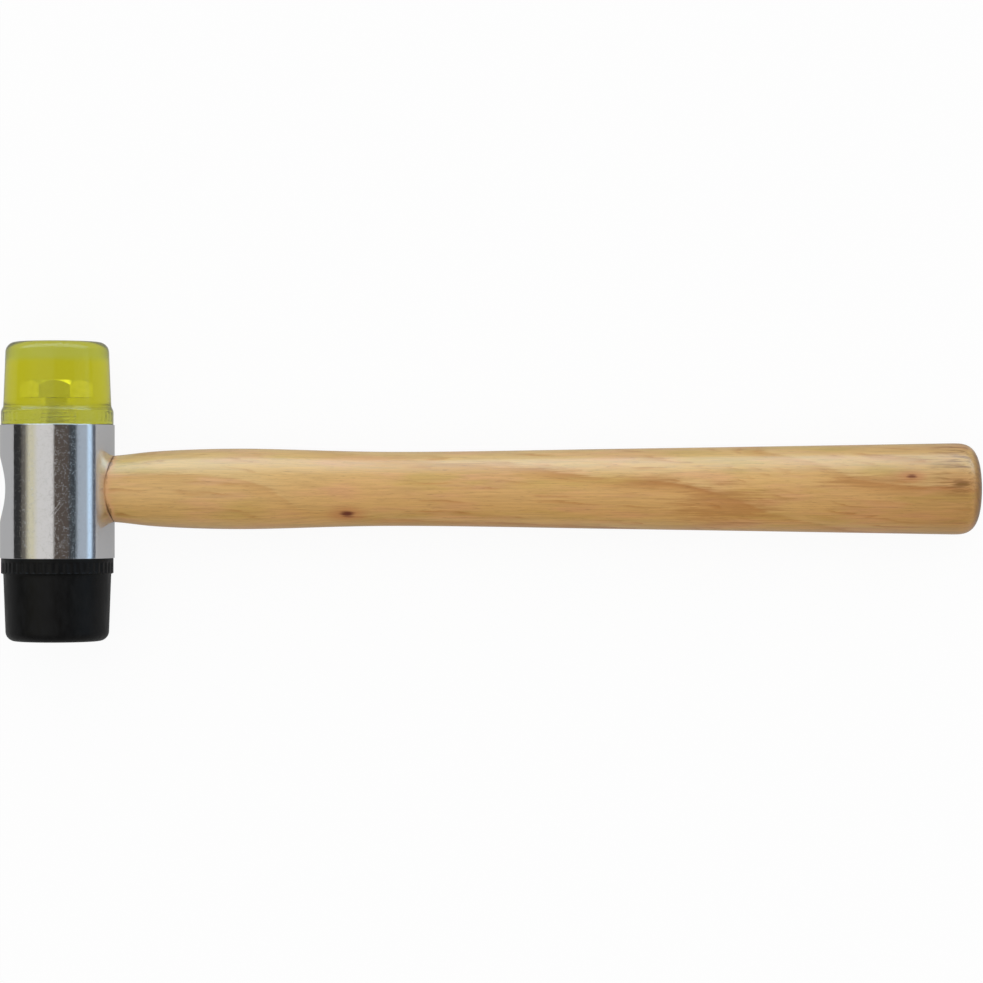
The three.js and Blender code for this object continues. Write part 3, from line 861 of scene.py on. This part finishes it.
def bolt_head_mesh(sizes):
    """A chamfered hexagon head with a washer face, one flat facing up."""
    flats = sizes.bolt_flats / 2
    low, high = sizes.bolt_seat, sizes.bolt_seat + sizes.bolt_head
    turns = [2 * math.pi * i / HEAD_POINTS for i in range(HEAD_POINTS)]

    def corner(turn):
        return flats / math.cos((turn + math.pi / 6) % (math.pi / 3) - math.pi / 6)

    def crown(turn):
        return high - (corner(turn) - flats * FLAT_TOP) * math.tan(HEAD_CHAMFER)

    def ring(radius_of, height_of):
        return [(radius_of(t) * math.sin(t), height_of(t), radius_of(t) * math.cos(t)) for t in turns]

    def circle(share, height):
        return ring(lambda t: flats * share, lambda t: height)

    rows = [[(0, low, 0)], circle(WASHER_FACE, low), ring(corner, lambda t: low + WASHER_HEIGHT)]
    rows += [ring(corner, crown), circle(FLAT_TOP, high), circle(TOP_ROW, high), [(0, high, 0)]]
    return shell_mesh("bolt_head", [rows], 20)


# Rows in one turn of the thread, and points round it
TURN_ROWS, ROD_POINTS = 14, 56


def rod_mesh(sizes):
    """The plain rod that the thread is wound on, from inside the bolt's head to its tip."""
    tip, top = -sizes.bolt_reach, sizes.bolt_seat + sizes.bolt_head / 2
    rows = int((top - tip) / sizes.thread_pitch * TURN_ROWS)
    profile = [(0, tip)] + [(sizes.thread_radius, h) for h in (tip, *spaced(tip, top, rows))] + [(0, top)]
    return shell_mesh("bolt_rod", [turned_rows(profile, ROD_POINTS)], 60)


def wedge_mesh(name, thickness, edge, depth, width, bevel):
    """A tapered wedge along X, its head at X = 0, thin across Y and centred on Z, with broken edges."""
    made = bmesh.new()
    for at, half in ((0, thickness / 2), (depth, edge / 2)):
        for y in (-half, half):
            for z in (-width / 2, width / 2):
                made.verts.new((at, y, z))
    bmesh.ops.convex_hull(made, input=made.verts)
    bmesh.ops.dissolve_limit(made, angle_limit=0.02, verts=made.verts, edges=made.edges)
    if bevel:
        bmesh.ops.bevel(made, geom=made.edges, offset=bevel, segments=3, profile=0.5, affect="EDGES")
    bmesh.ops.recalc_face_normals(made, faces=made.faces)
    return mesh_from(made, name, 30)


# Points round the handle, rows over each part of it, and how far the hollow of its shoulder fades out along it
HANDLE_POINTS = 128
HANDLE_ROWS = {"tenon": 8, "shoulder": 4, "corner": 5, "saddle": 20, "shaft": 160, "butt": 28}
SADDLE_RUN = 12 * MM
# Broken edge of the tenon, and where the tenon's last row lies, as a share of the way to the shoulder
TENON_EDGE, TENON_SHARE = 0.3 * MM, 0.6


def handle_mesh(sizes, head):
    """The handle as one loft of ovals: tenon, a shoulder seated on the barrel's skin, shaft and rounded butt."""
    distances, halves = (np.array(axis) for axis in zip(*handle_line(sizes, head.eye_height)))
    seat, soft = head.barrel_radius + sizes.shoulder_gap, sizes.shoulder_round
    tenon, tenon_ratio = sizes.tenon_height / 2, sizes.tenon_width / sizes.tenon_height
    end, edge, counts = -sizes.tenon_end, TENON_EDGE, HANDLE_ROWS

    def shaft_row(x, saddle):
        return x, float(np.interp(x, distances, halves)), section_ratio(sizes, x), saddle

    _, neck, neck_ratio, _ = shaft_row(seat, 1)
    rows = [(end, tenon - edge, tenon_ratio, 0), (end + edge, tenon, tenon_ratio, 0)]
    rows += [(x, tenon, tenon_ratio, 0) for x in spaced(end + edge, TENON_SHARE * seat, counts["tenon"])]
    for t in (0, *spaced(0, 1, counts["shoulder"])):
        rows.append((seat, tenon + (neck - soft - tenon) * t, tenon_ratio + (neck_ratio - tenon_ratio) * t, 1))
    for t in spaced(0, math.pi / 2, counts["corner"]):
        rows.append((seat + soft * (1 - math.cos(t)), neck - soft * (1 - math.sin(t)), neck_ratio, 1))
    for x in spaced(seat + soft, seat + SADDLE_RUN, counts["saddle"]):
        fade = 1 - (x - seat - soft) / (SADDLE_RUN - soft)
        rows.append(shaft_row(x, fade**2))
    rows += [shaft_row(x, 0) for x in spaced(seat + SADDLE_RUN, sizes.butt_at, counts["shaft"])]
    rows += [(x, half, section_ratio(sizes, x), 0) for x, half in butt_line(sizes, counts["butt"])]
    turns = [2 * math.pi * i / HANDLE_POINTS for i in range(HANDLE_POINTS)]
    loft = [[(end, head.eye_shift, 0)]]
    for x, half, ratio, saddle in rows:
        ring = []
        for t in turns if half > 0 else [0]:
            z = half * ratio * math.sin(t)
            drop = saddle * (seat - math.sqrt(seat**2 - z**2))
            ring.append((x - drop, head.eye_shift + half * math.cos(t), z))
        loft.append(ring)
    return shell_mesh("handle_varnished", [loft], 50)


# Broken edges of the steel wedges, how far a saw cut stands out of the tenon and how far it overruns the eye
WEDGE_EDGE, KERF_PROUD, KERF_OVERRUN = 0.2 * MM, 0.01 * MM, 1.2


def steel_wedges(name, sizes, head, bevel=0, gap=0, proud=0):
    """The two steel wedges, the hard face's side first, or larger cutters for them."""
    meshes = []
    for side in (1, -1):
        mesh = wedge_mesh(
            name, sizes.steel_wedge_thickness + gap, sizes.steel_wedge_edge + gap,
            sizes.steel_wedge_depth + gap, sizes.steel_wedge_width + gap, bevel,
        )
        across = head.eye_shift + side * sizes.steel_wedge_offset
        mesh.transform(Matrix.Translation((-sizes.tenon_end - proud, across, 0)))
        meshes.append(mesh)
    return meshes


def kerf_cutters(sizes, head):
    """Cutters for the saw cut of the wooden wedge and the two steel wedges, a little larger than the wedges."""
    gap = 2 * sizes.wedge_gap
    wood = wedge_mesh(
        "kerf", sizes.wood_wedge_thickness + gap, sizes.wood_wedge_edge + gap,
        sizes.wood_wedge_depth + gap, head.eye_height * KERF_OVERRUN, 0,
    )
    seat = Matrix.Translation((-sizes.tenon_end - KERF_PROUD, head.eye_shift, 0))
    wood.transform(seat @ Matrix.Rotation(math.pi / 2, 4, "X"))
    return [wood, *steel_wedges("kerf", sizes, head, gap=gap, proud=KERF_PROUD)]


def cut(mesh, cutters, name):
    """A mesh with the cutters taken out of it."""
    blank = bpy.data.objects.new(name, mesh)
    tools = [bpy.data.objects.new("cutter", cutter) for cutter in cutters]
    for item in (blank, *tools):
        bpy.context.scene.collection.objects.link(item)
    for tool in tools:
        modifier = blank.modifiers.new("cut", "BOOLEAN")
        modifier.operation = "DIFFERENCE"
        modifier.solver = "EXACT"
        modifier.object = tool
    result = made_mesh(blank, name)
    for item in (blank, *tools):
        bpy.data.objects.remove(item)
    return result


# Operators


class MALLET_OT_barrel(bpy.types.Operator):
    """Make the plated barrel with its flared eye and tapped ends"""

    bl_idname = "mallet.barrel"
    bl_label = "Barrel"

    def execute(self, context):
        scene = context.scene
        mesh = barrel_mesh(scene.mallet_head)
        mesh.materials.append(plating_finish(scene.mallet_colours))
        carry(new_piece("barrel_plated", mesh, rest_place()), "head", "plated_steel", "head_barrel")
        return {"FINISHED"}


class MALLET_OT_handle(bpy.types.Operator):
    """Make the wooden handle, cut for its wedges"""

    bl_idname = "mallet.handle"
    bl_label = "Handle"

    def execute(self, context):
        scene = context.scene
        blank = handle_mesh(scene.mallet_handle, scene.mallet_head)
        mesh = cut(blank, kerf_cutters(scene.mallet_handle, scene.mallet_head), "handle_varnished")
        mesh.materials.clear()
        mesh.materials.append(wood_finish(scene.mallet_colours))
        carry(new_piece("handle_varnished", mesh, rest_place()), "head", "varnished_wood", "handle")
        return {"FINISHED"}


class MALLET_OT_wedges(bpy.types.Operator):
    """Make the steel wedges and finish the wooden one"""

    bl_idname = "mallet.wedges"
    bl_label = "Wedges"

    def execute(self, context):
        scene = context.scene
        sizes, head = scene.mallet_handle, scene.mallet_head
        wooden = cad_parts["wooden_wedge"].data.materials
        wooden.clear()
        wooden.append(raw_wood_finish(scene.mallet_colours))
        steel = steel_finish("wedge_steel", scene.mallet_colours.wedge_steel, (0.4, 2, 2), (0.4, 0.6), 0.3)
        for mesh, name in zip(steel_wedges("steel_wedge", sizes, head, WEDGE_EDGE), ("hard_side", "soft_side")):
            mesh.materials.append(steel)
            piece = new_piece("steel_wedge_" + name + "_dull", mesh, rest_place())
            carry(piece, "head", "wedge_steel", "steel_wedge_" + name)
        return {"FINISHED"}


def face_place(hard):
    """Moves a face or bolt from its own frame, seat at Y = 0 and striking end along +Y, to its end of the head."""
    turn = Matrix.Identity(4) if hard else Matrix.Rotation(math.pi, 4, "X")
    return rest_place() @ turn @ Matrix.Translation((0, HARD_LOW.y, 0))


# Length over which the ribs of a collar run out at each end
RIB_RUN_OUT = 0.35 * MM


class MALLET_OT_faces(bpy.types.Operator):
    """Make the clear face and the rubber face with their ribbed collars"""

    bl_idname = "mallet.faces"
    bl_label = "Faces"

    def execute(self, context):
        sizes, colours = context.scene.mallet_head, context.scene.mallet_colours
        tree = collar_rib_tree()
        for hard in (True, False):
            name = "hard_face" if hard else "soft_face"
            slope, edge = (sizes.hard_slope, sizes.hard_edge) if hard else (sizes.soft_slope, sizes.soft_edge)
            values = {
                "Ribs": float(sizes.rib_count), "Depth": sizes.hard_rib_depth if hard else sizes.soft_rib_depth,
                "From": sizes.collar_lip, "To": sizes.collar_height - STEP_LOW * slope, "Run-out": RIB_RUN_OUT,
                "Material": plastic_finish(colours) if hard else rubber_finish(colours),
            }
            mesh = run_tree(face_mesh(sizes, slope, edge), tree, values, name + "_ribbed")
            piece = new_piece(name + "_ribbed", mesh, face_place(hard))
            carry(piece, name, "hard_plastic" if hard else "black_rubber", name)
        return {"FINISHED"}


class MALLET_OT_bolts(bpy.types.Operator):
    """Make the two threaded bolts that hold the faces"""

    bl_idname = "mallet.bolts"
    bl_label = "Bolts"

    def execute(self, context):
        sizes, colours = context.scene.mallet_head, context.scene.mallet_colours
        tree = thread_tree()
        finish = steel_finish("zinc_plating", colours.zinc, (0.5, 0.5, 0.5), (0.08, 0.14), 0.01)
        head = bpy.data.objects.new("bolt_head", bolt_head_mesh(sizes))
        context.scene.collection.objects.link(head)
        values = {
            "Pitch": sizes.thread_pitch, "Radius": sizes.thread_radius, "Depth": sizes.thread_depth,
            "Start": sizes.thread_start, "Tip": -sizes.bolt_reach, "Chamfer": sizes.bolt_chamfer, "Head": head,
            "Material": finish,
        }
        for hard in (True, False):
            name = "hard" if hard else "soft"
            mesh = run_tree(rod_mesh(sizes), tree, values, name + "_bolt_threaded")
            piece = new_piece(name + "_bolt_threaded", mesh, face_place(hard))
            carry(piece, name + "_bolt", "zinc_steel", name + "_face_bolt")
        bpy.data.objects.remove(head)
        return {"FINISHED"}


# Stage


WHITE = (1, 1, 1, 1)
# Panels round the studio: first and last degree from overhead towards the handle, and screen colour
STUDIO_PANELS = (
    (-90, -72, (45, 45, 45)), (-65, -61, (96, 92, 86)), (-51, -42, (195, 190, 165)), (-32, -2, (200, 198, 195)),
    (2, 28, (78, 70, 64)), (34, 43, (56, 62, 66)), (50, 68, (155, 165, 175)), (73, 78, (192, 217, 240)),
    (84, 92, (88, 92, 100)),
)
STUDIO_WALL = (150, 150, 150)
# Panel off the ends of the barrel: place round from below, as a share of a turn, and light, and how far from the middle
# it starts and is full
SIDE_PANEL = (
    (0.25, (0.2, 0.2, 0.2)), (0.45, (0.15, 0.15, 0.15)), (0.6, (0.25, 0.26, 0.27)), (0.67, (2.6, 3.6, 4.6)),
    (0.74, (2.6, 3.6, 4.6)), (0.755, (0.5, 0.5, 0.5)),
)
SIDE_REACH = (0.3, 0.65)
GLOSS_LIGHT = 1.22
# Direction that the dome is brightest in, and its light on the level
DOME_LEAN, DOME_LIGHT = (0, 0.3, 0.954), 0.355
# Window beyond the clear face, seen through it: two places along each axis and, where given, the light at them
WINDOW = {"Y": (0.5, 0.8), "Z": (-0.05, 0.1), "X": (-0.4, 0.4, 0.25, 1.3)}
# Light seen through the clear face elsewhere: two heights and the light at them
THROUGH = (0.1, 0.5, 1.0, 0.62)


def ray_fields(tree):
    """Whether a ray comes from gloss, through clear plastic or from the camera."""
    path = add_node(tree, "ShaderNodeLightPath").outputs
    return [Field(tree, path[f"Is {kind} Ray"]) for kind in ("Glossy", "Transmission", "Camera")]


def studio_world():
    """White to the camera, a banded studio to gloss, a window to the clear face, and an even dome to all else.

    The dome is a little brighter over the hard face.
    """
    world = bpy.data.worlds.new("studio")
    world.use_nodes = True
    tree = world.node_tree
    tree.nodes.clear()
    direction = Field(tree, add_node(tree, "ShaderNodeTexCoord").outputs["Generated"])
    x, y, z = direction.axes()

    def round_from_below(side):
        return side.calc("ARCTAN2", z) / (2 * math.pi) + 0.5

    stops = [(STUDIO_PANELS[0][0] - 1, STUDIO_WALL)]
    stops += [(degrees, tint) for first, last, tint in STUDIO_PANELS for degrees in (first, last)]
    stops += [(STUDIO_PANELS[-1][1] + 2, STUDIO_WALL)]
    bands = round_from_below(x).ramp([(degrees / 360 + 0.5, linear(*tint)) for degrees, tint in stops])
    reflected = y.calc("ABSOLUTE").smooth(*SIDE_REACH).mix(bands, round_from_below(y).ramp(SIDE_PANEL))
    dome = (direction.vector("DOT_PRODUCT", DOME_LEAN) + DOME_LIGHT).calc("MAXIMUM", 0)
    window = y.smooth(*WINDOW["Y"]) * z.smooth(*WINDOW["Z"]) * x.smooth(*WINDOW["X"])
    through = window + z.smooth(*THROUGH)
    shown = x.make("ShaderNodeBackground", {"Color": WHITE, "Strength": dome})
    gloss, clear, camera = ray_fields(tree)
    for ray, tint, strength in ((gloss, reflected, GLOSS_LIGHT), (clear, WHITE, through), (camera, WHITE, 1)):
        light = x.make("ShaderNodeBackground", {"Color": tint, "Strength": strength})
        shown = x.make("ShaderNodeMixShader", {0: ray, 1: shown, 2: light})
    add_node(tree, "ShaderNodeOutputWorld", {"Surface": shown})
    return world


# Share of plain white in the floor, to camera and clear plastic and to gloss, and the level of that white to gloss
FLOOR_SEEN, FLOOR_GLOSS, GLOSS_FLOOR = 0.93, 0.8, 0.38
FLOOR_HALF, FLOOR_SQUARES, FLOOR_DROP = 4, 8, 0.1 * MM


def floor_finish(colours):
    """A pale floor that shows white to camera and clear plastic, less so to gloss, and keeps the soft shadow."""
    material = bpy.data.materials.new("pale_floor")
    material.use_nodes = True
    tree = material.node_tree
    tree.nodes.clear()
    gloss, clear, camera = ray_fields(tree)
    seen = camera.calc("MAXIMUM", clear)
    shown = (seen * FLOOR_SEEN).calc("MAXIMUM", gloss * FLOOR_GLOSS)
    level = seen * (1 - GLOSS_FLOOR) + GLOSS_FLOOR
    matt = seen.make("ShaderNodeBsdfDiffuse", {"Color": (*colours.floor, 1)})
    white = seen.make("ShaderNodeEmission", {"Color": WHITE, "Strength": level})
    both = seen.make("ShaderNodeMixShader", {0: shown, 1: matt, 2: white})
    add_node(tree, "ShaderNodeOutputMaterial", {"Surface": both})
    return material


# Camera: its distance above a height, that height and the view's width there, in metres; its sensor in millimetres
CAMERA_DISTANCE, CAMERA_HEIGHT, VIEW_WIDTH = 1.0, 0.0175, 0.30015
SENSOR_WIDTH = 36
CLIP_START, CLIP_END = 0.01, 100


class MALLET_OT_stage(bpy.types.Operator):
    """Set the pale floor, the studio light and the camera straight above"""

    bl_idname = "mallet.stage"
    bl_label = "Stage"

    def execute(self, context):
        scene = context.scene
        made = bmesh.new()
        bmesh.ops.create_grid(made, x_segments=FLOOR_SQUARES, y_segments=FLOOR_SQUARES, size=FLOOR_HALF)
        mesh = bpy.data.meshes.new("floor")
        made.to_mesh(mesh)
        made.free()
        mesh.materials.append(floor_finish(scene.mallet_colours))
        floor = bpy.data.objects.new("floor", mesh)
        floor.location.z = -FLOOR_DROP
        scene.collection.objects.link(floor)
        scene.world = studio_world()
        lens = bpy.data.cameras.new("camera")
        lens.sensor_width = SENSOR_WIDTH
        lens.lens = SENSOR_WIDTH * CAMERA_DISTANCE / VIEW_WIDTH
        lens.clip_start, lens.clip_end = CLIP_START, CLIP_END
        camera = bpy.data.objects.new("camera", lens)
        camera.location = (0, 0, CAMERA_HEIGHT + CAMERA_DISTANCE)
        scene.collection.objects.link(camera)
        scene.camera = camera
        scene.view_settings.view_transform = "Standard"
        return {"FINISHED"}


# Panel and registration


OPERATORS = (
    MALLET_OT_barrel, MALLET_OT_handle, MALLET_OT_wedges, MALLET_OT_bolts, MALLET_OT_faces, MALLET_OT_stage,
)


class MALLET_PT_panel(bpy.types.Panel):
    """Lists the mallet's pieces with their sizes and colours"""

    bl_idname = "MALLET_PT_panel"
    bl_label = "Double-faced mallet"
    bl_space_type = "VIEW_3D"
    bl_region_type = "UI"
    bl_category = "Mallet"

    def draw(self, context):
        for operator in OPERATORS:
            self.layout.operator(operator.bl_idname)
        for group in ("mallet_head", "mallet_handle", "mallet_colours"):
            values = getattr(context.scene, group)
            for key in values.bl_rna.properties.keys():
                if key not in {"rna_type", "name"}:
                    self.layout.prop(values, key)


GROUPS = {
    "mallet_head": MalletHeadSizes, "mallet_handle": MalletHandleSizes, "mallet_colours": MalletColours,
}


def register():
    for item in (*GROUPS.values(), *OPERATORS, MALLET_PT_panel):
        bpy.utils.register_class(item)
    for key, group in GROUPS.items():
        setattr(bpy.types.Scene, key, PointerProperty(type=group))


def unregister():
    for key in GROUPS:
        delattr(bpy.types.Scene, key)
    for item in reversed((*GROUPS.values(), *OPERATORS, MALLET_PT_panel)):
        bpy.utils.unregister_class(item)


def main():
    register()
    bpy.ops.mallet.stage()
    bpy.ops.mallet.barrel()
    bpy.ops.mallet.handle()
    bpy.ops.mallet.wedges()
    bpy.ops.mallet.bolts()
    bpy.ops.mallet.faces()


if __name__ == "__main__":
    main()
